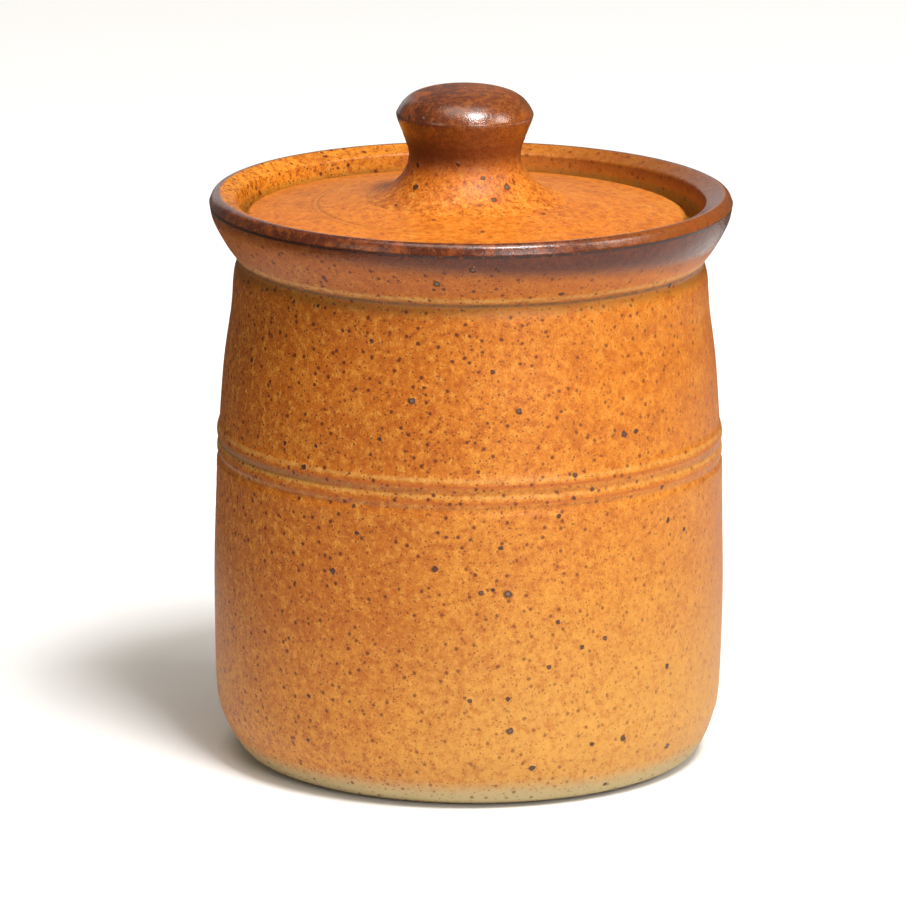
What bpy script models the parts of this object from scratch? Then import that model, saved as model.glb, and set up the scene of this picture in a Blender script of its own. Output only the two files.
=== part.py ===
"""Stoneware storage jar with a loose knobbed lid.

Both pieces are turned: each is one outline swept round an upright axis.
Units are metres and +Z is up. The jar stands on the XY plane, on its own axis.
A named point of an outline is (radius, height above the base).
"""
import math

import bpy

MM = 0.001

# Jar, outside: the collar, from the sharp edge under the lip down to the neck groove
JAR_HEIGHT = 146.1 * MM
LIP_EDGE = (66.5 * MM, 143.6 * MM)
COLLAR_FACE = (65.5 * MM, 139.4 * MM)
COLLAR_CURVE = (62.5 * MM, 133.7 * MM)
COLLAR_FOOT = (59.9 * MM, 130.0 * MM)
NECK = (59.3 * MM, 128.2 * MM)

# Jar, outside: the body, from the neck groove down to the rings
SHOULDER = (60.2 * MM, 125.0 * MM)
UPPER_BODY = (60.9 * MM, 116.2 * MM)
MIDDLE_BODY = (62.7 * MM, 103.2 * MM)
ABOVE_RINGS = (63.8 * MM, 87.4 * MM)

# Two raised rings round the middle, each between shallow grooves
RING_RADIUS = 64.45 * MM
RING_HEIGHTS = (84.4 * MM, 80.2 * MM)
RING_HALF_WIDTH = 0.7 * MM
RING_SLOPE = 1.2 * MM
GROOVE_DEPTH = 0.3 * MM

# Jar, outside: the body below the rings, then the bevelled foot
BELOW_RINGS = (64.6 * MM, 76.8 * MM)
BELLY = (65.2 * MM, 45.0 * MM)
LOWER_BODY = (64.7 * MM, 19.0 * MM)
FOOT_TOP = (62.9 * MM, 10.0 * MM)
FOOT_BEVEL = (59.2 * MM, 2.8 * MM)
FOOT_EDGE = (56.0 * MM, 0.7 * MM)
BASE_RADIUS = 53.0 * MM

# Jar, inside, then the lip, whose top slopes down inwards
WALL = 5.4 * MM
FLOOR = 7.0 * MM
FLOOR_RADIUS = 57.3 * MM
FLOOR_FILLET = 10.0 * MM
THROAT_RADIUS = 53.0 * MM
LEDGE_HEIGHT = 135.8 * MM
LEDGE_ROUNDING = 1.2 * MM
GALLERY_RADIUS = 58.2 * MM
LIP_INNER_RADIUS = 59.5 * MM
LIP_INNER_HEIGHT = 143.5 * MM
LIP_ROUNDING = 1.0 * MM
LIP_SLOPE_DEGREES = 20
LIP_CREST = [(63.2 * MM, 145.85 * MM), (64.0 * MM, JAR_HEIGHT), (64.8 * MM, 146.0 * MM)]
LIP_FACE = (65.7 * MM, 145.3 * MM)

# Lid, from the top of the knob down to the edge of the disc
KNOB_TOP = 172.8 * MM
KNOB_CROWN = (8.0 * MM, 172.4 * MM)
KNOB_BROW = (12.7 * MM, 171.3 * MM)
KNOB_SIDE = (15.6 * MM, 169.5 * MM)
KNOB_BULGE = (17.4 * MM, 167.0 * MM)
KNOB_WIDEST = (17.7 * MM, 165.3 * MM)
KNOB_UNDER = (15.9 * MM, 160.5 * MM)
KNOB_NECK = (14.6 * MM, 155.5 * MM)
FLARE_TOP = (16.3 * MM, 150.3 * MM)
FLARE_MIDDLE = (20.4 * MM, 146.4 * MM)
FLARE_FOOT = (25.4 * MM, 144.4 * MM)
DISC_MIDDLE = (38.0 * MM, 142.6 * MM)
LID_RADIUS = 56.0 * MM
LID_EDGE_HEIGHT = 140.3 * MM
LID_EDGE_ROUNDING = 1.2 * MM
SEAT_GAP = 0.3 * MM
LID_SHIFT = -1.5 * MM

TURN_STEPS = 64
JOIN_TOLERANCE = 0.02 * MM
ROUGHNESS = 0.42
JAR_COLOUR = (0.65, 0.23, 0.045, 1.0)
LID_COLOUR = (0.72, 0.22, 0.035, 1.0)


def clear_scene():
    for item in list(bpy.data.objects):
        bpy.data.objects.remove(item, do_unlink=True)


def arc(centre, radius, start, end, steps):
    """Points (r, z) of an arc, with its angles in degrees from the outward direction."""
    points = []
    for i in range(steps + 1):
        angle = math.radians(start + (end - start) * i / steps)
        points.append((centre[0] + radius * math.cos(angle), centre[1] + radius * math.sin(angle)))
    return points


def between(a, b, c, d, t):
    """The value at t on a Catmull-Rom curve's span from b to c."""
    return 0.5 * (2 * b + (c - a) * t + (2 * a - 5 * b + 4 * c - d) * t ** 2 + (3 * b - a - 3 * c + d) * t ** 3)


def smooth(knots, steps):
    """A smooth curve through the knots, with the given steps from one knot to the next."""
    guide = [knots[0]] + list(knots) + [knots[-1]]
    points = [knots[0]]
    for a, b, c, d in zip(guide, guide[1:], guide[2:], guide[3:]):
        for i in range(1, steps + 1):
            t = i / steps
            points.append((between(a[0], b[0], c[0], d[0], t), between(a[1], b[1], c[1], d[1], t)))
    return points


def join(*stretches):
    """One outline from several, without the points that repeat where two of them meet."""
    outline = []
    for stretch in stretches:
        for point in stretch:
            if not outline or math.dist(outline[-1], point) > JOIN_TOLERANCE:
                outline.append(point)
    return outline


def ring(height):
    """A low flat-topped ring, listed from the groove above it to the groove below."""
    groove = RING_RADIUS - GROOVE_DEPTH
    return [
        (groove, height + RING_HALF_WIDTH + RING_SLOPE),
        (RING_RADIUS, height + RING_HALF_WIDTH),
        (RING_RADIUS, height - RING_HALF_WIDTH),
        (groove, height - RING_HALF_WIDTH - RING_SLOPE),
    ]


def jar_inside():
    """From the middle of the floor up the inner wall to the ledge that carries the lid."""
    corner_centre = (FLOOR_RADIUS - FLOOR_FILLET, FLOOR + FLOOR_FILLET)
    corner = arc(corner_centre, FLOOR_FILLET, -90, 0, 5)
    wall = smooth([
        corner[-1],
        (BELLY[0] - WALL, BELLY[1]),
        (RING_RADIUS - WALL, RING_HEIGHTS[0]),
        (UPPER_BODY[0] - WALL, UPPER_BODY[1]),
        (THROAT_RADIUS, LEDGE_HEIGHT - LEDGE_ROUNDING),
    ], 2)
    ledge_centre = (THROAT_RADIUS + LEDGE_ROUNDING, LEDGE_HEIGHT - LEDGE_ROUNDING)
    ledge_edge = arc(ledge_centre, LEDGE_ROUNDING, 180, 90, 2)
    return join([(0.0, FLOOR)], corner, wall, ledge_edge)


def jar_rim():
    """From the ledge up the gallery wall, over the sloping lip and down the collar to the neck."""
    lip_centre = (LIP_INNER_RADIUS + LIP_ROUNDING, LIP_INNER_HEIGHT)
    lip_inside = arc(lip_centre, LIP_ROUNDING, 180, 90 + LIP_SLOPE_DEGREES, 2)
    collar = smooth([LIP_EDGE, COLLAR_FACE, COLLAR_CURVE, COLLAR_FOOT, NECK], 2)
    return join([(GALLERY_RADIUS, LEDGE_HEIGHT)], lip_inside, LIP_CREST, [LIP_FACE], collar)


def jar_body():
    """From the neck down the body and the foot to the middle of the base."""
    upper = smooth([NECK, SHOULDER, UPPER_BODY, MIDDLE_BODY, ABOVE_RINGS], 2)
    rings = ring(RING_HEIGHTS[0])[1:] + ring(RING_HEIGHTS[1])
    base_edge = (BASE_RADIUS, 0.0)
    lower = smooth([BELOW_RINGS, BELLY, LOWER_BODY, FOOT_TOP, FOOT_BEVEL, FOOT_EDGE, base_edge], 2)
    return join(upper, rings, lower, [(0.0, 0.0)])


def lid_outline():
    """From the top of the knob down over the flare and the disc, then across the underside."""
    underside = LEDGE_HEIGHT + SEAT_GAP
    edge_centre_radius = LID_RADIUS - LID_EDGE_ROUNDING
    knob_top = smooth([(0.0, KNOB_TOP), KNOB_CROWN, KNOB_BROW, KNOB_SIDE, KNOB_BULGE, KNOB_WIDEST], 1)
    stem = smooth([KNOB_WIDEST, KNOB_UNDER, KNOB_NECK, FLARE_TOP, FLARE_MIDDLE, FLARE_FOOT], 2)
    disc = smooth([FLARE_FOOT, DISC_MIDDLE, (edge_centre_radius, LID_EDGE_HEIGHT)], 2)
    edge = arc((edge_centre_radius, LID_EDGE_HEIGHT - LID_EDGE_ROUNDING), LID_EDGE_ROUNDING, 90, 0, 3)
    foot = arc((edge_centre_radius, underside + LID_EDGE_ROUNDING), LID_EDGE_ROUNDING, 0, -90, 2)
    return join(knob_top, stem, disc, edge, foot, [(0.0, underside)])


def glaze(name, colour):
    material = bpy.data.materials.new(name)
    material.use_nodes = True
    shader = material.node_tree.nodes["Principled BSDF"]
    shader.inputs["Base Color"].default_value = colour
    shader.inputs["Roughness"].default_value = ROUGHNESS
    shader.inputs["Metallic"].default_value = 0.0
    return material


def turned(name, outline, material, collection):
    """A closed solid: the outline, which starts and ends on the axis, swept round Z."""
    mesh = bpy.data.meshes.new(name)
    edges = [(i, i + 1) for i in range(len(outline) - 1)]
    mesh.from_pydata([(r, 0.0, z) for r, z in outline], edges, [])
    mesh.materials.append(material)
    piece = bpy.data.objects.new(name, mesh)
    collection.objects.link(piece)
    screw = piece.modifiers.new("Turn", "SCREW")
    screw.axis = "Z"
    screw.angle = math.tau
    screw.steps = TURN_STEPS
    screw.render_steps = TURN_STEPS
    screw.use_merge_vertices = True
    screw.merge_threshold = 0.01 * MM
    screw.use_smooth_shade = True
    return piece


def main():
    clear_scene()
    collection = bpy.data.collections.new("stoneware_storage_jar")
    bpy.context.scene.collection.children.link(collection)
    jar_outline = join(jar_inside(), jar_rim(), jar_body())
    turned("jar", jar_outline, glaze("jar_glaze", JAR_COLOUR), collection)
    lid = turned("lid", lid_outline(), glaze("lid_glaze", LID_COLOUR), collection)
    lid.location.x = LID_SHIFT


main()
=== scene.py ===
"""The looks of a speckled stoneware storage jar with a loose knobbed lid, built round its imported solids.

Units are metres and +Z is up. The jar stands on the XY plane, on its own axis, and the side that the
photograph shows faces -Y. A named point of an outline is (radius, height above the base). An angle round
the jar is in degrees from the front, positive towards the right.
"""

import math

import bpy
import numpy as np
from mathutils import Matrix, Vector
from mathutils.bvhtree import BVHTree
from mathutils.kdtree import KDTree


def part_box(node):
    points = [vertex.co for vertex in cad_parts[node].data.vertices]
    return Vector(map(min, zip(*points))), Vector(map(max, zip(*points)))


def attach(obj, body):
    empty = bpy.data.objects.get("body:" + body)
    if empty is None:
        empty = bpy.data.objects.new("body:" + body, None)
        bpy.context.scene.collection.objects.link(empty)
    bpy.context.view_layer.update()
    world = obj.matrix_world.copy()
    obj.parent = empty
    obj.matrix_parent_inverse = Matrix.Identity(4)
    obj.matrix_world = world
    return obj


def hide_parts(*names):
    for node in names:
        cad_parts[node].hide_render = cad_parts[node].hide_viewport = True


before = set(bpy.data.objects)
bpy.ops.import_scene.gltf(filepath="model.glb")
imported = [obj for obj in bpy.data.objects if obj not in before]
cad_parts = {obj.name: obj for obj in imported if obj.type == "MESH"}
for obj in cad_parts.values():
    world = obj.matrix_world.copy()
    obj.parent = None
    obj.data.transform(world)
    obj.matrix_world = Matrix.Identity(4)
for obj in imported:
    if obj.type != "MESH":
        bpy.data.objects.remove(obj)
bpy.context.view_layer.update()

MM = 0.001
SEED = 41

# Jar, outside: the collar, from the sharp edge under the lip down to the neck groove
JAR_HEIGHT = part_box("jar")[1].z
LIP_EDGE = (66.45 * MM, 143.6 * MM)
COLLAR_FACE = (65.5 * MM, 139.4 * MM)
COLLAR_CURVE = (62.5 * MM, 133.7 * MM)
COLLAR_FOOT = (59.9 * MM, 130.0 * MM)
NECK = (59.3 * MM, 128.2 * MM)

# Jar, outside: the body, from the neck groove down to the rings
SHOULDER = (60.2 * MM, 125.0 * MM)
UPPER_BODY = (60.9 * MM, 116.2 * MM)
MIDDLE_BODY = (62.7 * MM, 103.2 * MM)
ABOVE_RINGS = (63.8 * MM, 87.4 * MM)

# Two raised rings round the middle, each between shallow grooves
RING_RADIUS = 64.45 * MM
RING_HEIGHTS = (84.4 * MM, 80.2 * MM)
RING_HALF_WIDTH = 0.7 * MM
RING_SLOPE = 1.2 * MM
GROOVE_DEPTH = 0.3 * MM

# Jar, outside: the body below the rings, then the bevelled foot
BELOW_RINGS = (64.6 * MM, 76.8 * MM)
BELLY = (65.2 * MM, 45.0 * MM)
LOWER_BODY = (64.7 * MM, 19.0 * MM)
FOOT_TOP = (62.9 * MM, 10.0 * MM)
FOOT_BEVEL = (59.2 * MM, 2.8 * MM)
FOOT_EDGE = (56.0 * MM, 0.7 * MM)
BASE_RADIUS = 53.0 * MM

# Jar, inside, then the lip, whose top slopes down inwards
WALL = 5.4 * MM
FLOOR = 7.0 * MM
FLOOR_RADIUS = 57.3 * MM
FLOOR_FILLET = 10.0 * MM
THROAT_RADIUS = 53.0 * MM
LEDGE_HEIGHT = 135.8 * MM
LEDGE_ROUNDING = 1.2 * MM
GALLERY_RADIUS = 58.2 * MM
LIP_INNER_RADIUS = 59.5 * MM
LIP_INNER_HEIGHT = 143.5 * MM
LIP_ROUNDING = 1.0 * MM
LIP_SLOPE_DEGREES = 20
LIP_CREST = [(63.2 * MM, 145.85 * MM), (64.0 * MM, JAR_HEIGHT), (64.8 * MM, 146.0 * MM)]
LIP_FACE = (65.7 * MM, 145.3 * MM)

# Lid, from the top of the knob down to the edge of the disc
KNOB_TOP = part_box("lid")[1].z
KNOB_CROWN = (8.0 * MM, 172.4 * MM)
KNOB_BROW = (12.7 * MM, 171.3 * MM)
KNOB_SIDE = (15.6 * MM, 169.5 * MM)
KNOB_BULGE = (17.4 * MM, 167.0 * MM)
KNOB_WIDEST = (17.7 * MM, 165.3 * MM)
KNOB_UNDER = (15.9 * MM, 160.5 * MM)
KNOB_NECK = (14.6 * MM, 155.5 * MM)
FLARE_TOP = (16.3 * MM, 150.3 * MM)
FLARE_MIDDLE = (20.4 * MM, 146.4 * MM)
FLARE_FOOT = (25.4 * MM, 144.4 * MM)
DISC_MIDDLE = (38.0 * MM, 142.6 * MM)
LID_RADIUS = 56.0 * MM
LID_EDGE_HEIGHT = 140.3 * MM
LID_EDGE_ROUNDING = 1.2 * MM
SEAT_GAP = 0.3 * MM
LID_SHIFT = -1.5 * MM

# Faint turned rings on the lid's disc, each (radius, height), and how wide they are
LID_RINGS = ((37.0 * MM, 0.09 * MM), (38.4 * MM, -0.12 * MM), (39.4 * MM, 0.09 * MM), (48.5 * MM, 0.15 * MM))
LID_RING_WIDTH = 0.45 * MM

# How far the jar strays from a true turning
RIDGE_PITCH = 4.6 * MM
RIDGE_DEPTH = 0.022 * MM
RIDGE_FADE = 9 * MM
SLOW_WAVE_LENGTH = 6.1 * MM
SLOW_WAVE_DEPTH = 0.05 * MM
JAR_OVAL = 0.07 * MM
OUT_OF_ROUND = 0.05 * MM
RIM_SAG = 0.14 * MM
FOOT_RIGHT = 0.6 * MM

# How far the lid strays from a true turning
KNOB_LEAN = 0.5 * MM
KNOB_SLIM = 0.35 * MM
LID_OVAL = 0.06 * MM
LID_RIGHT = 0.3 * MM
STEM_MARK_PITCH = 2.1 * MM
STEM_MARK_DEPTH = 0.03 * MM

# Heights of the painted lines at the collar's foot, and at the upper and the lower ring; the rings' dark lines
# are painted shade beneath them, and their cream lines partly painted highlight
COLLAR_CREAM = 130.7 * MM
COLLAR_DARK = 129.2 * MM
COLLAR_OLIVE = 127.9 * MM
RING_CREAM_AND_HIGHLIGHT = (85.8 * MM, 81.6 * MM)
RING_RUST = (84.3 * MM, 80.0 * MM)
RING_SHADE_LINES = (83.0 * MM, 79.0 * MM)
RING_OLIVE = 82.8 * MM
LINE_WANDER = 0.12 * MM

# Where the jar's brown rim, rusty collar, bare foot and lower, paler glaze lie
BROWN_FOOT = 141.4 * MM
BROWN_DROP = 6.6 * MM
BROWN_WANDER = 0.25 * MM
BROWN_FADE = (-4.6 * MM, 3.4 * MM)
# The thin dark line just under the lip's edge: glaze pooled there, darkened further as painted shade in the
# crease
POOL_AND_SHADE_DROP = 0.35 * MM
COLLAR_RUST = 136.8 * MM
FOOT_LINE = 6.3 * MM
FOOT_WANDER = 1.0 * MM
FOOT_FADE = (-4.5 * MM, 4.0 * MM)
PALE_FADE = (12 * MM, 112 * MM)

# Painted arcs on the lid's disc: thin dark turned rings, and a pale line in front that is partly painted
# highlight
LID_DARK_ARCS = (37.7 * MM, 39.1 * MM)
LID_PALE_ARC = 48.5 * MM

# The camera and the photograph's frame
FRAME_PIXELS = 907
SENSOR = 36.0
FOCAL_PIXELS = 8000.0
PIXEL_SIZE = 0.2556 * MM
CAMERA_ELEVATION = 13.6
CAMERA_ROLL = 0.34
AXIS_PIXELS_RIGHT = 15.9
TARGET_HEIGHT = 77.45 * MM

# How fine the meshes are: segments round, and the distance between an outline's points by stretch
JAR_SEGMENTS = 300
LID_SEGMENTS = 256
SPAN_POINTS = 25
JOIN_TOLERANCE = 0.02 * MM
SPACING = {
    "floor": 6.0 * MM,
    "inner wall": 4.0 * MM,
    "gallery": 0.7 * MM,
    "lip slope": 0.4 * MM,
    "lip face": 0.3 * MM,
    "collar": 0.45 * MM,
    "upper body": 1.0 * MM,
    "rings": 0.3 * MM,
    "lower body": 0.95 * MM,
    "base": 8.0 * MM,
    "knob": 0.5 * MM,
    "disc": 0.35 * MM,
    "underside": 8.0 * MM,
}


# Outlines

def arc(centre, radius, start, end, count):
    """Points (r, z) of an arc, with its angles in degrees from the outward direction."""
    angles = np.radians(np.linspace(start, end, count + 1))
    return [(centre[0] + radius * math.cos(a), centre[1] + radius * math.sin(a)) for a in angles]


def between(a, b, c, d, t):
    """The value at t on a Catmull-Rom curve's span from b to c."""
    square = 2 * a - 5 * b + 4 * c - d
    cube = 3 * b - a - 3 * c + d
    return 0.5 * (2 * b + (c - a) * t + square * t ** 2 + cube * t ** 3)


def evenly(points, spacing):
    """The same line with points at equal distances of about the given spacing."""
    points = np.array(points)
    along = np.concatenate([[0.0], np.cumsum(np.hypot(*np.diff(points, axis=0).T))])
    places = np.linspace(0.0, along[-1], max(2, math.ceil(along[-1] / spacing) + 1))
    return [tuple(p) for p in np.stack([np.interp(places, along, points[:, k]) for k in (0, 1)], axis=1)]


def smooth(knots, spacing):
    """A smooth curve through the knots, with points at equal distances."""
    guide = [knots[0]] + list(knots) + [knots[-1]]
    points = [knots[0]]
    for a, b, c, d in zip(guide, guide[1:], guide[2:], guide[3:]):
        for t in np.linspace(0.0, 1.0, SPAN_POINTS)[1:]:
            points.append((between(a[0], b[0], c[0], d[0], t), between(a[1], b[1], c[1], d[1], t)))
    return evenly(points, spacing)


def ring(height):
    """A low flat-topped ring, listed from the groove above it to the groove below."""
    groove = RING_RADIUS - GROOVE_DEPTH
    return [
        (groove, height + RING_HALF_WIDTH + RING_SLOPE),
        (RING_RADIUS, height + RING_HALF_WIDTH),
        (RING_RADIUS, height - RING_HALF_WIDTH),
        (groove, height - RING_HALF_WIDTH - RING_SLOPE),
    ]


def jar_outline():
    """The jar's outline as stretches (name, points), from its floor's middle to its base's middle."""
    corner = arc((FLOOR_RADIUS - FLOOR_FILLET, FLOOR + FLOOR_FILLET), FLOOR_FILLET, -90, 0, 8)
    inner_wall = [
        corner[-1],
        (BELLY[0] - WALL, BELLY[1]),
        (RING_RADIUS - WALL, RING_HEIGHTS[0]),
        (UPPER_BODY[0] - WALL, UPPER_BODY[1]),
        (THROAT_RADIUS, LEDGE_HEIGHT - LEDGE_ROUNDING),
    ]
    ledge_centre = (THROAT_RADIUS + LEDGE_ROUNDING, LEDGE_HEIGHT - LEDGE_ROUNDING)
    ledge_end = (GALLERY_RADIUS, LEDGE_HEIGHT)
    lip_centre = (LIP_INNER_RADIUS + LIP_ROUNDING, LIP_INNER_HEIGHT)
    lip_inside = arc(lip_centre, LIP_ROUNDING, 180, 90 + LIP_SLOPE_DEGREES, 6)
    collar = [LIP_EDGE, COLLAR_FACE, COLLAR_CURVE, COLLAR_FOOT, NECK]
    upper = [NECK, SHOULDER, UPPER_BODY, MIDDLE_BODY, ABOVE_RINGS]
    rings = [ABOVE_RINGS] + ring(RING_HEIGHTS[0])[1:] + ring(RING_HEIGHTS[1]) + [BELOW_RINGS]
    lower = [BELOW_RINGS, BELLY, LOWER_BODY, FOOT_TOP, FOOT_BEVEL, FOOT_EDGE, (BASE_RADIUS, 0.0)]
    return [
        ("inside", evenly([(0.0, FLOOR), corner[0]], SPACING["floor"])),
        ("inside", corner),
        ("inside", smooth(inner_wall, SPACING["inner wall"])),
        ("inside", arc(ledge_centre, LEDGE_ROUNDING, 180, 90, 4) + [ledge_end]),
        ("gallery", evenly([ledge_end, lip_inside[0]], SPACING["gallery"])),
        ("lip", lip_inside + evenly([lip_inside[-1], LIP_CREST[0]], SPACING["lip slope"])),
        ("lip", smooth(LIP_CREST + [LIP_FACE, LIP_EDGE], SPACING["lip face"])),
        ("outside", smooth(collar, SPACING["collar"])),
        ("outside", smooth(upper, SPACING["upper body"])),
        ("outside", smooth(rings, SPACING["rings"])),
        ("outside", smooth(lower, SPACING["lower body"])),
        ("base", evenly([(BASE_RADIUS, 0.0), (0.0, 0.0)], SPACING["base"])),
    ]


def turned_lines(points):
    """The disc's outline with the faint raised and sunk rings that the turning tool left."""
    out = []
    for r, z in points:
        for place, height in LID_RINGS:
            z += height * math.exp(-((r - place) / LID_RING_WIDTH) ** 2)
        out.append((r, z))
    return out


def lid_outline():
    """The lid's outline as stretches (name, points), from the knob's top to the underside's middle."""
    underside = LEDGE_HEIGHT + SEAT_GAP
    rim = LID_RADIUS - LID_EDGE_ROUNDING
    knob = [(0.0, KNOB_TOP), KNOB_CROWN, KNOB_BROW, KNOB_SIDE, KNOB_BULGE, KNOB_WIDEST, KNOB_UNDER, KNOB_NECK]
    flare = [FLARE_TOP, FLARE_MIDDLE, FLARE_FOOT]
    disc = smooth([FLARE_FOOT, DISC_MIDDLE, (rim, LID_EDGE_HEIGHT)], SPACING["disc"])
    edge = arc((rim, LID_EDGE_HEIGHT - LID_EDGE_ROUNDING), LID_EDGE_ROUNDING, 90, 0, 5)
    foot = arc((rim, underside + LID_EDGE_ROUNDING), LID_EDGE_ROUNDING, 0, -90, 4)
    return [
        ("knob", smooth(knob + flare, SPACING["knob"])),
        ("disc", turned_lines(disc)),
        ("edge", edge + foot),
        ("underside", evenly([foot[-1], (0.0, underside)], SPACING["underside"])),
    ]


# Turned meshes with painted zones

ZONES = (
    "brown", "pool", "cream", "dark_line", "olive", "rust", "bare",
    "deep", "low", "marks", "glossy", "wet", "bright", "pepper",
)


def steps(value, low, high):
    """0 below low, 1 above high, smooth between; the other way round where low is above high."""
    t = np.clip((value - low) / (high - low), 0.0, 1.0)
    return t * t * (3.0 - 2.0 * t)


def band(value, middle, half, soft):
    """1 within half of the middle, fading to 0 over the soft width on both sides."""
    return 1.0 - steps(np.abs(value - middle), half, half + soft)


def wander(angle, seed, waves=7):
    """A smooth random line round the jar, between about -1 and 1, that closes on itself."""
    draw = np.random.default_rng(seed)
    total = np.zeros_like(angle)
    for k in range(1, waves + 1):
        total += draw.normal() * np.sin(k * np.radians(angle) + draw.uniform(0, math.tau)) / k ** 0.7
    return total / 2.0


def around(angle, middle):
    """1 at the middle angle, 0 on the opposite side, smooth between."""
    return 0.5 + 0.5 * np.cos(np.radians(angle - middle))


def new_piece(name, vertices, faces, layers):
    """A smooth mesh object in the scene, with a layer of values for each painted zone."""
    mesh = bpy.data.meshes.new(name)
    mesh.from_pydata(vertices, [], faces)
    mesh.update()
    mesh.shade_smooth()
    for key, values in layers.items():
        layer = mesh.attributes.new(key, "FLOAT", "POINT")
        layer.data.foreach_set("value", np.ascontiguousarray(values, np.float32))
    piece = bpy.data.objects.new(name, mesh)
    bpy.context.scene.collection.objects.link(piece)
    return piece


def turned(name, outline, segments, shape, paint):
    """A closed mesh from an outline that starts and ends on the axis.

    shape(radius, height, angle, zone) gives the points their places, and paint, called alike, their zones.
    """
    zones, points = [], []
    for zone, stretch in outline:
        for point in stretch:
            if not points or math.dist(points[-1], point) > JOIN_TOLERANCE:
                points.append(point)
                zones.append(zone)
    rows = np.array(points[1:-1])
    r, angle = np.meshgrid(rows[:, 0], np.arange(segments) * 360.0 / segments, indexing="ij")
    z = np.repeat(rows[:, 1:], segments, axis=1)
    zone = np.repeat(np.array(zones[1:-1])[:, None], segments, axis=1)
    parts = [shape(r, z, angle, zone)]
    for end in (0, -1):
        radius, height, front = (np.array([[value]]) for value in (*points[end], 0.0))
        parts.append(shape(radius, height, front, np.array([[zones[end]]])))
    vertices = np.concatenate([part.reshape(-1, 3) for part in parts])
    count, total = len(rows), len(rows) * segments
    faces = []
    for i in range(count - 1):
        above, below = i * segments, (i + 1) * segments
        for j in range(segments):
            k = (j + 1) % segments
            faces.append((above + j, below + j, below + k, above + k))
    for j in range(segments):
        k = (j + 1) % segments
        faces.append((total, j, k))
        faces.append((total + 1, (count - 1) * segments + k, (count - 1) * segments + j))
    layers = {key: np.append(values.ravel(), [0.0, 0.0]) for key, values in paint(r, z, angle, zone).items()}
    return new_piece(name, vertices.tolist(), faces, layers)


def placed(r, z, angle, across):
    """World points for radius, height and angle, round an axis that stands aside by the given distance."""
    a = np.radians(angle)
    return np.stack([across + r * np.sin(a), -r * np.cos(a), z], axis=-1)


def jar_shape(r, z, angle, zone):
    """The thrown jar: faint spiral ridges, a little out of round, its rim uneven, its foot to the right."""
    outer = (zone == "outside") * steps(z, 2 * MM, 14 * MM) * (1 - steps(z, 126 * MM, 130 * MM))
    turn = z / RIDGE_PITCH + angle / 360.0
    spiral = RIDGE_DEPTH * np.sin(math.tau * turn) * (0.6 + 0.4 * np.sin(z / RIDGE_FADE))
    slow = SLOW_WAVE_DEPTH * np.sin(z / SLOW_WAVE_LENGTH + 0.8 * np.sin(np.radians(angle + 40)))
    oval = JAR_OVAL * np.cos(np.radians(2 * angle + 50)) + OUT_OF_ROUND * wander(angle, SEED)
    rim = steps(z, 132 * MM, 143 * MM)
    edge_wave = rim * (zone == "lip") * OUT_OF_ROUND * wander(angle, SEED + 1, 23)
    sag = -RIM_SAG * rim * (1 + np.cos(np.radians(angle + 140)))
    foot_right = FOOT_RIGHT * (1 - steps(z, 0.5 * MM, 14 * MM)) * (zone != "inside")
    radius = r + outer * (spiral + slow) + oval * steps(r, 20 * MM, 50 * MM) + edge_wave
    return placed(radius, z + sag, angle, foot_right)


def lid_shape(r, z, angle, zone):
    """The lid: slightly oval, its knob leaning a little to the left, with faint marks round its stem."""
    lean = -KNOB_LEAN * steps(z, 141 * MM, 160 * MM)
    oval = LID_OVAL * np.cos(np.radians(2 * angle - 20)) * steps(r, 5 * MM, 15 * MM)
    turn = z / STEM_MARK_PITCH + angle / 360.0
    on_stem = steps(z, 146 * MM, 150 * MM) * (1 - steps(z, 160 * MM, 164 * MM))
    marks = STEM_MARK_DEPTH * np.sin(math.tau * turn) * on_stem
    slim = -KNOB_SLIM * steps(z, 148 * MM, 154 * MM) * steps(r, 4 * MM, 12 * MM)
    return placed(r + oval + marks + slim, z, angle, LID_SHIFT + LID_RIGHT + lean)


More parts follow.
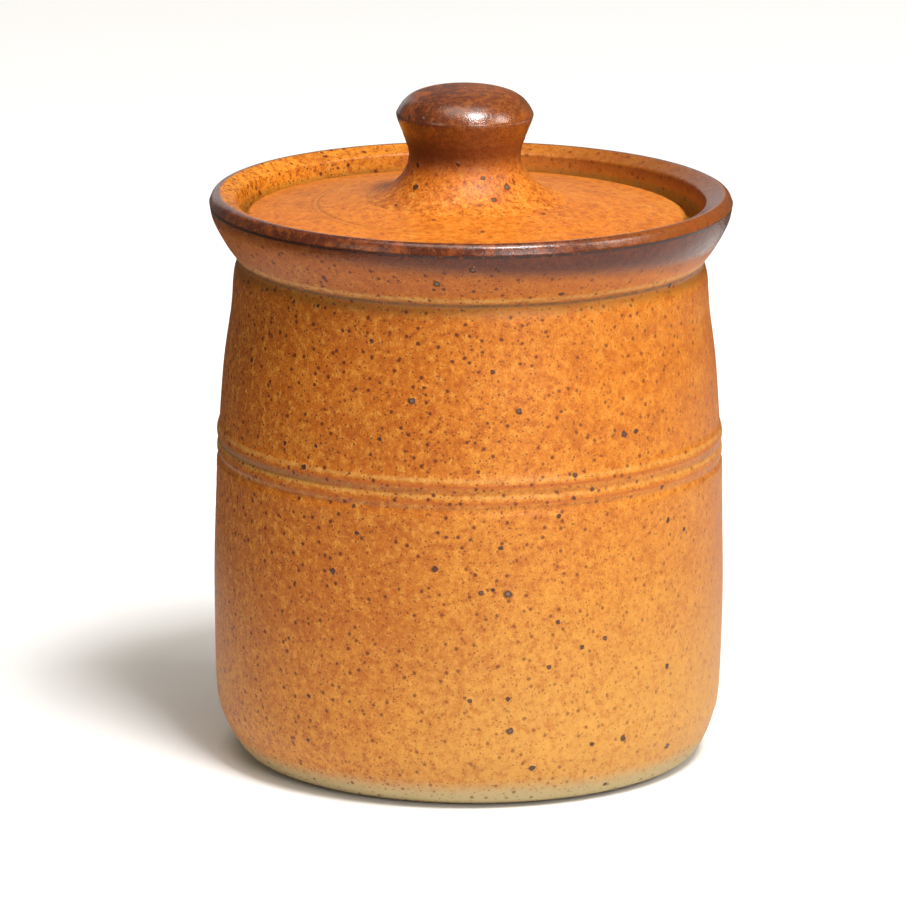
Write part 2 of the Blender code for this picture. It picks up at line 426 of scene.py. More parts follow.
def jar_lines(z, angle):
    """The thin lines at the collar's foot and round the rings: reddish in front, darker at the sides. Under
    each ring the dark line is painted shade, wider and darker at the sides and the left; the rings' pale lines
    are partly painted highlight.
    """
    wave = LINE_WANDER * wander(angle, SEED + 3, 19)
    patchy = wander(angle, SEED + 5, 29)
    sides = 1.0 - steps(around(angle, 8), 0.55, 0.95)
    left = steps(around(angle, -90), 0.55, 0.95)

    def line(height, half, soft):
        """A thin band that wanders a little up and down on its way round."""
        return band(z, height + wave, half, soft)

    cream = (0.72 + 0.15 * patchy) * line(COLLAR_CREAM, 0.15 * MM, 0.6 * MM)
    # The rings' pale lines: thin glaze on their upper sides, and painted highlight where those sides face the
    # light
    cream += (0.50 + 0.06 * sides + 0.2 * patchy) * line(RING_CREAM_AND_HIGHLIGHT[0], 0.2 * MM, 0.6 * MM)
    cream += (0.50 + 0.02 * sides + 0.2 * patchy) * line(RING_CREAM_AND_HIGHLIGHT[1], 0.2 * MM, 0.5 * MM)
    dark = (0.95 + 0.1 * patchy) * line(COLLAR_DARK, 0.35 * MM, 0.4 * MM)
    # Painted shade under each ring, wider and darker at the sides and the left, away from the lamps
    dark += (0.08 + 0.16 * sides + 0.18 * left) * line(RING_SHADE_LINES[0], (0.2 + 0.6 * left) * MM, 0.5 * MM)
    dark += (0.10 + 0.12 * sides + 0.12 * left) * line(RING_SHADE_LINES[1], (0.1 + 0.4 * left) * MM, 0.6 * MM)
    olive = (0.55 + 0.2 * patchy) * band(z, COLLAR_OLIVE, 0.6 * MM, 1.7 * MM)
    # Olive in the groove between the rings: thick glaze, with more at the left as painted shade
    olive += (0.16 + 0.16 * sides + 0.42 * left + 0.2 * patchy) * band(z, RING_OLIVE, 0.6 * MM, 0.6 * MM)
    rust = (0.85 - 0.50 * sides - 0.2 * patchy) * line(RING_RUST[0], 0.25 * MM, 0.4 * MM)
    rust += (0.70 - 0.30 * sides - 0.2 * patchy) * line(RING_RUST[1], 0.2 * MM, 0.4 * MM)
    return cream, dark, olive, rust


def jar_brown(r, z, angle, zone):
    """The brown glaze of the lip, the upper collar and the gallery's upper edge, deepened on the gallery's
    right as painted shade.
    """
    foot = BROWN_FOOT - BROWN_DROP * around(angle, 95) ** 1.3 + BROWN_WANDER * wander(angle, SEED + 2, 12)
    collar = steps(z, foot + BROWN_FADE[0], foot + BROWN_FADE[1]) * (0.66 + 0.34 * around(angle, 20) ** 2)
    slope = 0.12 + 0.70 * around(angle, 55)
    face = lip_face(r)
    lip = slope * (1 - face) + (0.93 - 0.35 * crest_right(angle)) * face
    # Brown on the gallery's right wall: partly glaze, partly painted shade where that wall faces away from the
    # lamps
    gallery = 0.55 * around(angle, 110) ** 2 * steps(z, 139 * MM, 143.5 * MM)
    return (zone == "outside") * collar + (zone == "lip") * lip + (zone == "gallery") * gallery


def lip_face(r):
    """1 on the lip's outer face and crest, 0 on its inward slope."""
    return steps(r, 63.4 * MM, 64.3 * MM)


def crest_right(angle):
    """1 at the right, where the lip's crest is worn to rust."""
    return steps(around(angle, 70), 0.80, 0.97)


def jar_paint(r, z, angle, zone):
    """Where each kind of glaze, painted light and painted shade lies on the jar, each from 0 to 1."""
    outside, lip = zone == "outside", zone == "lip"
    gallery, inside = zone == "gallery", zone == "inside"
    cream, dark_line, olive, rust = (outside * line for line in jar_lines(z, angle))
    brown = jar_brown(r, z, angle, zone)
    gallery_foot = 1 - steps(z, 140.0 * MM, 141.4 * MM)
    # Olive at the gallery's foot, most on the right: less-glazed wall, with painted shade in that recess; olive
    # inside the jar
    olive += gallery * (0.45 + 0.35 * around(angle, 90)) * gallery_foot + inside * 0.8
    # Rust-red on the gallery's right wall: partly glaze, partly painted shade where that wall faces away from
    # the lamps
    rust += gallery * 0.5 * steps(around(angle, 110), 0.4, 0.9)
    rust += outside * 0.42 * band(z, COLLAR_RUST, 4.0 * MM, 1.5 * MM)
    rust += lip * 0.6 * lip_face(r) * crest_right(angle)
    # A pale cream wash low on the front right: partly paler glaze, partly painted sheen from the lamps on that
    # side
    cream += outside * 0.30 * (1 - steps(z, 14 * MM, 60 * MM)) * steps(around(angle, 40), 0.70, 1.0)
    foot_line = FOOT_LINE + FOOT_WANDER * wander(angle, SEED + 4, 9)
    foot = 1 - steps(z, foot_line + FOOT_FADE[0], foot_line + FOOT_FADE[1])
    # Darker at the very bottom of the foot: painted shade where it meets the floor
    foot_contact_shade = 1 - steps(z, 0.5 * MM, 2.2 * MM)
    low_left = 1 - 0.45 * steps(around(angle, -80), 0.5, 0.95)
    zones = {
        "brown": brown,
        # Pooled glaze under the lip's edge, and painted shade in that crease
        "pool": outside * band(z, LIP_EDGE[1] - POOL_AND_SHADE_DROP, 0.3 * MM, 0.5 * MM),
        "cream": cream,
        "dark_line": np.maximum(dark_line, outside * 0.5 * foot_contact_shade),
        "olive": olive,
        "rust": rust,
        "bare": outside * foot + (zone == "base"),
        # Deeper orange everywhere but the front right, where the lamps fall: partly deeper glaze, partly
        # painted shade
        "deep": outside * (1 - steps(around(angle, 32), 0.80, 0.99)) * steps(z, 10 * MM, 55 * MM),
        "low": outside * low_left * (1 - steps(z, *PALE_FADE)),
        "marks": np.zeros_like(z),
        "glossy": lip * brown + outside * steps(brown, 0.25, 0.8),
        "wet": 0.7 * lip * brown,
        # Painted light on the gallery's wall and the lip's slope at the back left, where the lamps shine in
        "bright": 0.55 * (gallery | lip) * steps(around(angle, -120), 0.5, 0.9),
        # More specks and mottle toward the left: partly the glaze's own specks, partly painted shade on the
        # side away from the lamps
        "pepper": (0.42 + 0.58 * around(angle, -75)) * (0.72 + 0.28 * steps(z, 10 * MM, 90 * MM)),
    }
    return {key: np.clip(value, 0.0, 1.0) for key, value in zones.items()}


def lid_paint(r, z, angle, zone):
    """Where each kind of glaze and painted shade lies on the lid, each from 0 to 1."""
    knob, disc = zone == "knob", zone == "disc"
    none = np.zeros_like(z)
    crown = steps(z, 166.8 * MM, 169.5 * MM)
    # The crown's brown thinned to orange, least on the left, so the crown's left stays darker as painted shade
    crown_orange_and_light = (0.30 - 0.24 * around(angle, -80)) * crown
    # Brown rising up the stem to the knob's underside: partly brown glaze, partly painted shade under the
    # knob's overhang
    stem = steps(z, 149.5 * MM + 0.7 * MM * wander(angle, SEED + 6, 9), 158 * MM)
    # Painted light: the stem's brown thinned on the right, where the lamps fall
    stem_painted_light = 0.42 * around(angle, 60) ** 1.5 * (1 - crown)
    crown_rust = crown * (0.40 + 0.3 * wander(angle, SEED + 8, 9))
    shine = knob * steps(z, 158 * MM, 165 * MM) * (1 - steps(z, 169.3 * MM, 171.8 * MM))
    turning = 0.5 + 0.5 * wander(r / MM * 24.0, SEED + 7, 29)
    dark_arcs = sum(band(r, radius, 0.1 * MM, 0.3 * MM) for radius in LID_DARK_ARCS)
    pale_arc = band(r, LID_PALE_ARC, 0.1 * MM, 0.45 * MM)
    zones = {
        "brown": knob * stem * (0.95 - crown_orange_and_light) * (1 - stem_painted_light),
        "pool": none,
        # A pale line on the disc's outer ridge, only in front: partly glaze, partly painted highlight where the
        # ridge faces the lamps
        "cream": disc * 0.55 * pale_arc * steps(around(angle, 12), 0.80, 0.97),
        "dark_line": disc * 0.45 * dark_arcs * steps(around(angle, -80), 0.55, 0.95),
        "olive": (zone == "edge") * 0.5 + (zone == "underside") * 0.8,
        "rust": knob * (crown_rust + 0.45 * stem * (1 - crown)),
        "bare": none,
        # Painted shade: the knob darker on its left, away from the lamps
        "deep": knob * 0.9 * steps(around(angle, -90), 0.45, 0.90),
        "low": none,
        "marks": disc * turning + knob * crown,
        "glossy": shine,
        "wet": shine,
        "bright": none,
        "pepper": 1.0 - 0.38 * disc,
    }
    return {key: np.clip(value, 0.0, 1.0) for key, value in zones.items()}


# Glaze materials

class Surface:
    """A material's node tree, with short calls for the few nodes that the glazes use."""

    def __init__(self, name):
        self.material = bpy.data.materials.new(name)
        self.material.use_nodes = True
        self.tree = self.material.node_tree
        self.shader = self.tree.nodes["Principled BSDF"]
        self.place = self.tree.nodes.new("ShaderNodeTexCoord").outputs["Object"]

    def put(self, socket, value):
        if isinstance(value, bpy.types.NodeSocket):
            self.tree.links.new(value, socket)
        else:
            socket.default_value = value

    def zone(self, name):
        node = self.tree.nodes.new("ShaderNodeAttribute")
        node.attribute_name = name
        return node.outputs["Fac"]

    def stretched(self, across, up):
        node = self.tree.nodes.new("ShaderNodeMapping")
        self.put(node.inputs["Vector"], self.place)
        node.inputs["Scale"].default_value = (across, across, up)
        return node.outputs["Vector"]

    def noise(self, size, detail=2.0, rough=0.5, vector=None, seed=0.0):
        node = self.tree.nodes.new("ShaderNodeTexNoise")
        node.noise_dimensions = "4D"
        self.put(node.inputs["Vector"], vector or self.place)
        node.inputs["W"].default_value = seed
        node.inputs["Scale"].default_value = 1.0 / size
        node.inputs["Detail"].default_value = detail
        node.inputs["Roughness"].default_value = rough
        return node.outputs["Fac"]

    def calculate(self, kind, a, b, clamp=False):
        node = self.tree.nodes.new("ShaderNodeMath")
        node.operation = kind
        node.use_clamp = clamp
        self.put(node.inputs[0], a)
        self.put(node.inputs[1], b)
        return node.outputs["Value"]

    def plus(self, a, b, clamp=False):
        return self.calculate("ADD", a, b, clamp)

    def minus(self, a, b):
        return self.calculate("SUBTRACT", a, b)

    def times(self, a, b, clamp=False):
        return self.calculate("MULTIPLY", a, b, clamp)

    def fade(self, value, low, high, start=0.0, end=1.0):
        """From start where the value is at low to end where it is at high, smooth between."""
        node = self.tree.nodes.new("ShaderNodeMapRange")
        node.interpolation_type = "SMOOTHSTEP"
        keys = ("Value", "From Min", "From Max", "To Min", "To Max")
        for key, number in zip(keys, (value, low, high, start, end)):
            self.put(node.inputs[key], number)
        return node.outputs["Result"]

    def mix(self, factor, a, b):
        """Colour a where the factor is 0, colour b where it is 1."""
        node = self.tree.nodes.new("ShaderNodeMix")
        node.data_type = "RGBA"
        self.put(node.inputs["Factor"], factor)
        for socket, value in ((node.inputs[6], a), (node.inputs[7], b)):
            self.put(socket, value + (1.0,) if isinstance(value, tuple) else value)
        return node.outputs[2]

    def specks(self, cell, radius, wobble):
        """Soft-edged grains of many sizes, where the surface cuts through small balls, one to a cell."""
        node = self.tree.nodes.new("ShaderNodeTexVoronoi")
        self.put(node.inputs["Vector"], wobble)
        node.inputs["Scale"].default_value = 1.0 / cell
        node.inputs["Randomness"].default_value = 1.0
        return self.fade(node.outputs["Distance"], radius / cell, 0.4 * radius / cell)

    def wobbled(self, size, amount):
        """Coordinates pushed about a little, so that no grain is a perfect disc."""
        node = self.tree.nodes.new("ShaderNodeTexNoise")
        self.put(node.inputs["Vector"], self.place)
        node.inputs["Scale"].default_value = 1.0 / size
        shift = self.tree.nodes.new("ShaderNodeVectorMath")
        shift.operation = "MULTIPLY_ADD"
        self.put(shift.inputs[0], node.outputs["Color"])
        shift.inputs[1].default_value = (amount,) * 3
        self.put(shift.inputs[2], self.place)
        return shift.outputs["Vector"]


# Glaze colours, linear; several of them also stand for painted light and shade
HONEY_UPPER = (0.58, 0.168, 0.007)
HONEY_LOWER = (0.525, 0.232, 0.033)
# A deeper orange: the glaze's darker mottle, and also painted shade away from the lit front right and on the
# knob's left
HONEY_DEEP_AND_SHADE = (0.37, 0.078, 0.003)
HONEY_PALE = (0.74, 0.33, 0.045)
LID_ORANGE = (0.70, 0.190, 0.011)
# Painted light: a brighter orange for the gallery's wall and the lip's slope at the back left, which face the
# lamps
PAINTED_LIGHT_ORANGE = (0.85, 0.29, 0.011)
# Rust-red glaze, also used as painted shade on the gallery's right wall
RUST = (0.41, 0.092, 0.011)
# Cream of thin glaze, also used as painted highlight and sheen on the rings, on the lid's front ridge and low
# on the jar's front right
CREAM = (0.61, 0.335, 0.082)
# Olive glaze, also used as painted shade at the gallery's foot and in the rings' groove at the left
OLIVE = (0.25, 0.118, 0.014)
# Dark brown of the thin glaze lines, also used as painted shade under the rings and where the foot meets the
# floor
DARK_LINE_AND_SHADE = (0.14, 0.058, 0.010)
BARE = (0.42, 0.345, 0.18)
# The brown glaze, which also stands for painted shade on the gallery's right wall and under the knob
BROWN = (0.085, 0.017, 0.007)
BROWN_RED = (0.27, 0.066, 0.013)
BROWN_BLACK = (0.035, 0.010, 0.005)
SPECK = (0.135, 0.026, 0.003)
IRON_BLACK = (0.065, 0.020, 0.008)
IRON_MAUVE = (0.20, 0.145, 0.12)


# Sizes of the noises that mottle the glaze, from long streaks to the finest grain
STREAKS = 9 * MM
CLOUDS = 6 * MM
PEEL = 2.6 * MM
PATCHES = 1.9 * MM
GRAIN = 0.42 * MM
WOBBLE = (0.5 * MM, 0.45 * MM)

# Fine iron specks, each kind (distance between its grains, radius, strength)
SPECKS = ((0.62 * MM, 0.17 * MM, 0.60), (1.3 * MM, 0.37 * MM, 1.05), (2.9 * MM, 0.72 * MM, 1.25))

# The glaze's surface
SATIN = 0.50
GLOSSY = 0.20
DRY = 0.28
GLAZE_IOR = 1.43
COAT_ROUGHNESS = 0.25
RELIEF = 0.11 * MM


class Mottle:
    """The noises that the glaze's colour, gloss and relief share."""

    def __init__(self, s):
        self.streaks = s.noise(STREAKS, 3.0, 0.55, s.stretched(0.35, 2.2), 1.0)
        self.clouds = s.noise(CLOUDS, 2.0, 0.5, None, 2.0)
        self.patches = s.noise(PATCHES, 3.0, 0.70, None, 3.0)
        self.grain = s.noise(GRAIN, 1.0, 0.6, None, 4.0)
        # How strong the specks and mottle are: on the jar, stronger toward the left, partly as painted shade
        self.pepper = s.zone("pepper")
        uneven = s.times(s.minus(self.patches, 0.5), 0.9)
        self.ragged = s.plus(uneven, s.times(s.minus(self.clouds, 0.5), 0.5))


def honey(s, m, upper, lower):
    """The orange ground: by height, deeper away from the front right (partly deeper glaze, partly painted
    shade), with painted light on the gallery's back left, smudges, flecks and a fine grain.
    """
    colour = s.mix(s.zone("low"), upper, lower)
    # Deeper orange away from the lit front right and on the knob's left: partly deeper glaze, partly painted
    # shade
    colour = s.mix(s.times(s.zone("deep"), 0.48), colour, HONEY_DEEP_AND_SHADE)
    # Painted light at the back left of the gallery and the lip
    colour = s.mix(s.zone("bright"), colour, PAINTED_LIGHT_ORANGE)
    colour = s.mix(s.times(s.zone("marks"), 0.22), colour, HONEY_DEEP_AND_SHADE)
    upward = s.fade(s.zone("low"), 0.0, 1.0, 1.0, 0.35)
    colour = s.mix(s.times(upward, s.fade(m.streaks, 0.50, 0.75, 0.0, 0.25)), colour, HONEY_DEEP_AND_SHADE)
    colour = s.mix(s.times(upward, s.fade(m.clouds, 0.50, 0.72, 0.0, 0.48)), colour, HONEY_DEEP_AND_SHADE)
    colour = s.mix(s.fade(m.clouds, 0.48, 0.28, 0.0, 0.22), colour, HONEY_PALE)
    for noise, start, full, tone, strength in (
        (m.patches, 0.51, 0.37, HONEY_DEEP_AND_SHADE, 0.95),
        (m.patches, 0.51, 0.66, HONEY_PALE, 0.62),
        (m.grain, 0.48, 0.26, HONEY_DEEP_AND_SHADE, 0.75),
        (m.grain, 0.54, 0.76, HONEY_PALE, 0.65),
    ):
        share = s.times(s.fade(noise, start, full, 0.0, strength), m.pepper)
        colour = s.mix(share, colour, tone)
    return colour


def zoned(s, m, colour):
    """The painted zones over the ground: lines, bare foot, brown rim and collar, with the painted shade and
    highlight they carry.
    """

    def ragged(key, softness=0.35, uneven=1.0):
        """A zone with a ragged edge."""
        value = s.plus(s.zone(key), s.times(m.ragged, uneven * 0.5))
        return s.fade(value, 0.5 - softness, 0.5 + softness)

    def broken(key, hold=0.45):
        """A zone that the mottle breaks up, as strong as it was painted."""
        return s.times(s.zone(key), s.fade(m.patches, 0.34, 0.60, hold, 1.0), clamp=True)

    colour = s.mix(broken("rust"), colour, RUST)
    colour = s.mix(broken("olive", 0.4), colour, OLIVE)
    colour = s.mix(broken("cream"), colour, CREAM)
    colour = s.mix(s.times(ragged("bare", 0.5), 0.92), colour, BARE)
    colour = s.mix(broken("dark_line"), colour, DARK_LINE_AND_SHADE)
    uneven = s.fade(s.plus(s.zone("wet"), s.zone("marks")), 0.0, 0.9, 0.2, 1.0)
    tone = s.mix(s.times(uneven, s.fade(m.patches, 0.44, 0.62, 0.0, 0.75)), BROWN, BROWN_RED)
    tone = s.mix(s.fade(m.grain, 0.47, 0.30, 0.0, 0.9), tone, BROWN_BLACK)
    tone = s.mix(s.times(uneven, s.fade(m.clouds, 0.52, 0.68, 0.0, 0.45)), tone, RUST)
    colour = s.mix(ragged("brown", 0.48, 0.35), colour, tone)
    # A near-black line under the lip's edge: pooled glaze and painted crease shade
    return s.mix(ragged("pool", 0.3, 0.4), colour, BROWN_BLACK)


def gloss(s, m):
    """Satin, glossier where the brown glaze lies thick, dry at the foot, and coated where it looks wet."""
    uneven = s.times(s.minus(m.patches, 0.5), 0.25)
    rough = s.plus(s.fade(s.zone("glossy"), 0.0, 1.0, SATIN, GLOSSY), uneven)
    rough = s.plus(rough, s.times(s.zone("bare"), DRY), clamp=True)
    s.put(s.shader.inputs["Roughness"], rough)
    s.shader.inputs["IOR"].default_value = GLAZE_IOR
    s.put(s.shader.inputs["Coat Weight"], s.zone("wet"))
    s.shader.inputs["Coat Roughness"].default_value = COAT_ROUGHNESS


def relief(s, m):
    """Shallow dimples in the melted glaze, with more of the fine grain where it is glossy."""
    peel = s.noise(PEEL, 1.0, 0.5, None, 8.0)
    height = s.plus(peel, s.times(m.grain, s.fade(s.zone("glossy"), 0.0, 1.0, 0.4, 0.9)))
    height = s.plus(height, s.times(m.patches, 0.45))
    bump = s.tree.nodes.new("ShaderNodeBump")
    bump.inputs["Strength"].default_value = 1.0
    bump.inputs["Distance"].default_value = RELIEF
    s.put(bump.inputs["Height"], height)
    s.put(s.shader.inputs["Normal"], bump.outputs["Normal"])


def glaze(name, upper, lower, iron_share):
    """Speckled ash glaze: colour by height and zone, with painted light and shade in some zones, mottled, with
    iron grains, satin to glossy.
    """
    s = Surface(name)
    m = Mottle(s)
    wobble = s.wobbled(*WOBBLE)
    colour = zoned(s, m, honey(s, m, upper, lower))
    for cell, radius, strength in SPECKS:
        grains = s.specks(cell, radius, wobble)
        share = s.times(grains, s.times(m.pepper, strength * iron_share), clamp=True)
        colour = s.mix(share, colour, SPECK)
    iron_tone = s.mix(s.zone("mauve"), IRON_BLACK, IRON_MAUVE)
    iron = s.fade(s.plus(s.zone("iron"), s.times(m.ragged, 0.10)), 0.10, 0.85)
    s.put(s.shader.inputs["Base Color"], s.mix(iron, colour, iron_tone))
    gloss(s, m)
    relief(s, m)
    return s.material


# Camera and the photograph's pixels

def camera_pose():
    """Where the camera stands, and its right, up and back directions."""
    distance = FOCAL_PIXELS * PIXEL_SIZE
    elevation = math.radians(CAMERA_ELEVATION)
    aim = Vector((-AXIS_PIXELS_RIGHT * PIXEL_SIZE, 0.0, TARGET_HEIGHT))
    eye = Vector((0.0, -distance * math.cos(elevation), TARGET_HEIGHT + distance * math.sin(elevation)))
    roll = Matrix.Rotation(math.radians(CAMERA_ROLL), 3, "Z")
    turn = (eye - aim).to_track_quat("Z", "Y").to_matrix() @ roll
    return eye, turn


def add_camera():
    eye, turn = camera_pose()
    data = bpy.data.cameras.new("camera")
    data.sensor_width = SENSOR
    data.lens = FOCAL_PIXELS / FRAME_PIXELS * SENSOR
    camera = bpy.data.objects.new("camera", data)
    camera.matrix_world = Matrix.Translation(eye) @ turn.to_4x4()
    bpy.context.scene.collection.objects.link(camera)
    bpy.context.scene.camera = camera


def pixel_direction(x, y):
    """The direction from the camera through a pixel of the photograph."""
    turn = camera_pose()[1]
    middle = FRAME_PIXELS / 2
    return (turn @ Vector((x - middle, middle - y, -FOCAL_PIXELS))).normalized()


# Iron spots

# Each spot is (pixel across, pixel down, width in pixels, mauve share) in the photograph
JAR_SPOTS = [
    (412, 401, 7.5, 0.8), (519, 411, 6.0, 0.7), (624, 434, 7.0, 0.4), (636, 431, 5.5, 0.2),
    (380, 439, 4.5, 0.1), (285, 443, 5.0, 0.0), (316, 446, 4.5, 0.1), (304, 467, 6.5, 0.0),
    (575, 475, 5.5, 0.3), (592, 489, 5.0, 0.3), (574, 498, 4.5, 0.2), (559, 516, 5.0, 0.1),
    (662, 487, 5.0, 0.5), (668, 520, 6.0, 0.1), (684, 529, 5.0, 0.0), (354, 506, 4.5, 0.3),
    (357, 533, 5.0, 0.1), (333, 571, 7.0, 0.2), (435, 569, 7.0, 0.1), (501, 548, 5.0, 0.1),
    (508, 594, 8.5, 0.9), (481, 593, 5.5, 0.5), (493, 590, 4.5, 0.0), (558, 622, 5.0, 0.2),
    (605, 638, 5.0, 0.6), (582, 647, 5.0, 0.3), (549, 667, 5.0, 0.5), (667, 666, 6.0, 0.3),
    (309, 696, 5.0, 0.3), (470, 701, 5.0, 0.5), (508, 699, 5.0, 0.1), (510, 731, 7.5, 0.7),
    (623, 738, 7.0, 0.3), (592, 744, 5.0, 0.2), (667, 746, 7.0, 0.8), (532, 768, 7.0, 0.2),
    (308, 740, 4.5, 0.3), (605, 784, 5.0, 0.4), (437, 284, 7.5, 0.9), (473, 270, 6.0, 0.6),
    (498, 270, 4.5, 0.1), (561, 294, 5.0, 0.2), (670, 285, 5.0, 0.0), (324, 278, 5.0, 0.3),
    (372, 341, 4.5, 0.2), (267, 290, 4.0, 0.0), (294, 302, 4.0, 0.1), (318, 306, 4.0, 0.0),
    (252, 360, 6.5, 0.1), (493, 372, 5.0, 0.3),
]
LID_SPOTS = [
    (416, 187, 7.0, 0.1), (418, 165, 5.5, 0.0), (458, 164, 4.0, 0.1), (483, 178, 4.5, 0.6),
    (494, 200, 5.5, 0.7), (507, 187, 7.0, 1.0), (396, 205, 4.0, 0.0), (434, 220, 4.5, 0.0),
    (483, 232, 5.0, 0.2), (544, 214, 4.5, 0.3), (410, 117, 4.5, 0.1), (422, 118, 4.0, 0.3),
    (483, 95, 4.5, 0.6), (466, 89, 4.0, 0.8), (380, 168, 5.0, 0.1),
]
SPOT_SIDES = 18
SPOT_RISE = 0.04 * MM
SPOT_SINK = 0.18 * MM
SPOT_UNEVEN = 0.07
# Each ring of a spot is (share of its radius, share of its rise, how dark, how much of its paler middle)
SPOT_RINGS = (
    (0.0, 1.0, 1.0, 1.0),
    (0.35, 0.9, 1.0, 0.6),
    (0.7, 0.6, 0.8, 0.0),
    (1.2, 0.03, 0.0, 0.0),
    (1.1, -2.0, 0.0, 0.0),
)

# Spots on the sides and the back, which the photograph does not show
HIDDEN_SPOTS = 70
HIDDEN_ANGLES = (82, 278)
HIDDEN_HEIGHTS = (6 * MM, 140 * MM)
HIDDEN_WIDTHS = (0.9 * MM, 2.0 * MM)
HIDDEN_REACH = 0.3


class Ground:
    """A dressed piece as the spots on it need it: its surface, and its painted zones at the nearest point."""

    def __init__(self, piece):
        self.tree = BVHTree.FromObject(piece, bpy.context.evaluated_depsgraph_get())
        mesh = piece.data
        self.points = KDTree(len(mesh.vertices))
        for vertex in mesh.vertices:
            self.points.insert(vertex.co, vertex.index)
        self.points.balance()
        self.zones = {key: mesh.attributes[key].data for key in ZONES}

    def zones_at(self, point):
        index = self.points.find(point)[1]
        return [self.zones[key][index].value for key in ZONES]


def spot_mesh(name, ground, places, material):
    """Thin lens-shaped grains of melted iron, each lying on the glazed ground."""
    draw = np.random.default_rng(SEED + len(places))
    vertices, faces, values = [], [], []
    for place, normal, width, share in places:
        along = normal.orthogonal().normalized()
        side = normal.cross(along)
        phases = draw.uniform(0, math.tau, 3)
        first = len(vertices)
        under = ground.zones_at(place)
        for reach, height, iron, pale in SPOT_RINGS:
            for k in range(SPOT_SIDES if reach else 1):
                turn = math.tau * k / SPOT_SIDES
                uneven = 1 + sum(SPOT_UNEVEN * math.sin((n + 2) * turn + phases[n]) for n in range(3))
                flat = place + (along * math.cos(turn) + side * math.sin(turn)) * reach * uneven * width / 2
                near, out, _, _ = ground.tree.find_nearest(flat)
                vertices.append(near + out * height * SPOT_RISE)
                values.append([iron, share * pale] + under)
        vertices.append(place - normal * SPOT_SINK)
        values.append([0.0, 0.0] + under)
        rows = [first + 1 + row * SPOT_SIDES for row in range(len(SPOT_RINGS) - 1)]
        for k in range(SPOT_SIDES):
            n = (k + 1) % SPOT_SIDES
            faces.append((first, rows[0] + k, rows[0] + n))
            faces += [(a + k, b + k, b + n, a + n) for a, b in zip(rows, rows[1:])]
            faces.append((rows[-1] + k, len(vertices) - 1, rows[-1] + n))
    layers = dict(zip(("iron", "mauve") + ZONES, np.array(values).T))
    piece = new_piece(name, [tuple(vertex) for vertex in vertices], faces, layers)
    piece.data.materials.append(material)
    return piece


def seen_places(tree, spots):
    """The places on a surface that the camera sees at the spots' pixels."""
    eye = camera_pose()[0]
    places = []
    for x, y, width, share in spots:
        point, normal, _, _ = tree.ray_cast(eye, pixel_direction(x, y))
        if point:
            places.append((point, normal, width * PIXEL_SIZE, share))
    return places


def hidden_places(tree, seed):
    """Random places on the sides and the back."""
    draw = np.random.default_rng(seed)
    places = []
    for _ in range(HIDDEN_SPOTS):
        angle, height = math.radians(draw.uniform(*HIDDEN_ANGLES)), draw.uniform(*HIDDEN_HEIGHTS)
        start = Vector((HIDDEN_REACH * math.sin(angle), -HIDDEN_REACH * math.cos(angle), height))
        point, normal, _, _ = tree.ray_cast(start, Vector((-start.x, -start.y, 0.0)).normalized())
        if point:
            places.append((point, normal, draw.uniform(*HIDDEN_WIDTHS), draw.uniform(0.0, 1.0) ** 2))
    return places


# Floor, light and the whole

# Angles in degrees round the jar and above the floor, distances and sizes in metres, power in watts
WHITE = (1.0, 1.0, 1.0)
LIGHTS = {
    "key": dict(azimuth=30, elevation=60, distance=3.2, size=0.8, power=90, colour=WHITE),
    "fill": dict(azimuth=24, elevation=20, distance=3.2, size=1.2, power=34, colour=WHITE),
    "side": dict(azimuth=74, elevation=36, distance=3.2, size=0.9, power=26, colour=(1.0, 0.96, 0.90)),
    "left": dict(azimuth=-46, elevation=20, distance=3.2, size=1.2, power=9, colour=(1.0, 0.88, 0.70)),
    "top": dict(azimuth=-10, elevation=82, distance=3.2, size=2.4, power=42, colour=(1.0, 0.96, 0.87)),
    "back": dict(azimuth=190, elevation=17, distance=2.4, size=1.5, power=3.0, colour=WHITE),
}
WORLD_COLOUR = (1.0, 0.92, 0.80, 1.0)
WORLD_STRENGTH = 0.10
PAPER_CENTRE = (0.28, -0.10)
PAPER_RADIUS = 0.50
FLOOR_REACH = 5.0
FLOOR_SIDES = 128
PAPER_COLOUR = (0.93, 0.93, 0.925, 1.0)
FLOOR_COLOUR = (0.99, 0.99, 1.0, 1.0)


def ring_of_floor(name, inner, outer, material):
    """A flat ring of the floor, or a disc where the inner radius is 0."""
    x, y = PAPER_CENTRE
    turns = [math.tau * k / FLOOR_SIDES for k in range(FLOOR_SIDES)]
    points = [(x + outer * math.cos(t), y + outer * math.sin(t), 0.0) for t in turns]
    faces = [tuple(range(FLOOR_SIDES))]
    if inner:
        points += [(x + inner * math.cos(t), y + inner * math.sin(t), 0.0) for t in turns]
        pairs = [(k, (k + 1) % FLOOR_SIDES) for k in range(FLOOR_SIDES)]
        faces = [(k, n, FLOOR_SIDES + n, FLOOR_SIDES + k) for k, n in pairs]
    mesh = bpy.data.meshes.new(name)
    mesh.from_pydata(points, [], faces)
    mesh.materials.append(material)
    floor = bpy.data.objects.new(name, mesh)
    bpy.context.scene.collection.objects.link(floor)
    return floor


def matt_white(name, colour):
    material = bpy.data.materials.new(name)
    material.use_nodes = True
    shader = material.node_tree.nodes["Principled BSDF"]
    shader.inputs["Base Color"].default_value = colour
    shader.inputs["Roughness"].default_value = 0.9
    shader.inputs["Specular IOR Level"].default_value = 0.1
    return material


def add_floor():
    """White paper under the jar and to its right, and a white floor beyond that sends it no light."""
    ring_of_floor("paper", 0.0, PAPER_RADIUS, matt_white("paper_white", PAPER_COLOUR))
    far = ring_of_floor("far_floor", PAPER_RADIUS, FLOOR_REACH, matt_white("far_white", FLOOR_COLOUR))
    far.visible_diffuse = False
    far.visible_glossy = False


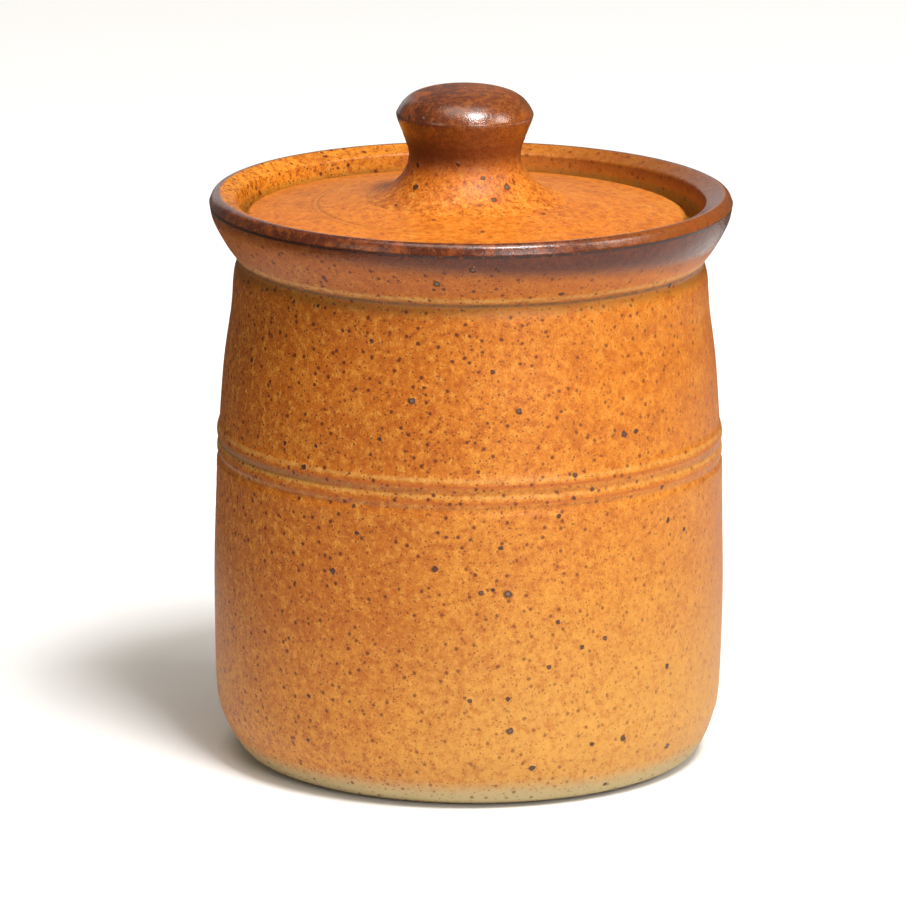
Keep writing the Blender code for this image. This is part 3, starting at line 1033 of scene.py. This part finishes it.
def add_lights():
    middle = Vector((0.0, 0.0, JAR_HEIGHT / 2))
    for name, facts in LIGHTS.items():
        azimuth, elevation = math.radians(facts["azimuth"]), math.radians(facts["elevation"])
        level = math.cos(elevation)
        toward = Vector((level * math.sin(azimuth), -level * math.cos(azimuth), math.sin(elevation)))
        data = bpy.data.lights.new(name, "AREA")
        data.shape = "SQUARE"
        data.size = facts["size"]
        data.energy = facts["power"]
        data.color = facts["colour"]
        light = bpy.data.objects.new(name, data)
        turn = toward.to_track_quat("Z", "Y").to_matrix().to_4x4()
        light.matrix_world = Matrix.Translation(middle + toward * facts["distance"]) @ turn
        bpy.context.scene.collection.objects.link(light)
    world = bpy.data.worlds.new("studio")
    world.use_nodes = True
    background = world.node_tree.nodes["Background"]
    background.inputs["Color"].default_value = WORLD_COLOUR
    background.inputs["Strength"].default_value = WORLD_STRENGTH
    bpy.context.scene.world = world
    bpy.context.scene.view_settings.view_transform = "Standard"


def dress(piece, slot, *nodes):
    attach(piece, "root")
    if nodes:
        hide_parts(*nodes)


def main():
    add_camera()
    add_lights()
    add_floor()
    jar_material = glaze("speckled_jar_glaze", HONEY_UPPER, HONEY_LOWER, 1.0)
    lid_material = glaze("speckled_lid_glaze", LID_ORANGE, LID_ORANGE, 0.5)
    jar = turned("stoneware_jar", jar_outline(), JAR_SEGMENTS, jar_shape, jar_paint)
    lid = turned("stoneware_lid", lid_outline(), LID_SEGMENTS, lid_shape, lid_paint)
    jar.data.materials.append(jar_material)
    lid.data.materials.append(lid_material)
    jar_ground, lid_ground = Ground(jar), Ground(lid)
    jar_places = seen_places(jar_ground.tree, JAR_SPOTS)
    jar_places += hidden_places(jar_ground.tree, SEED + 9)
    jar_spots = spot_mesh("jar_iron_spots", jar_ground, jar_places, jar_material)
    lid_spots = spot_mesh("lid_iron_spots", lid_ground, seen_places(lid_ground.tree, LID_SPOTS), lid_material)
    dress(jar, "jar_glaze", "jar")
    dress(lid, "lid_glaze", "lid")
    dress(jar_spots, "jar_glaze")
    dress(lid_spots, "lid_glaze")


main()
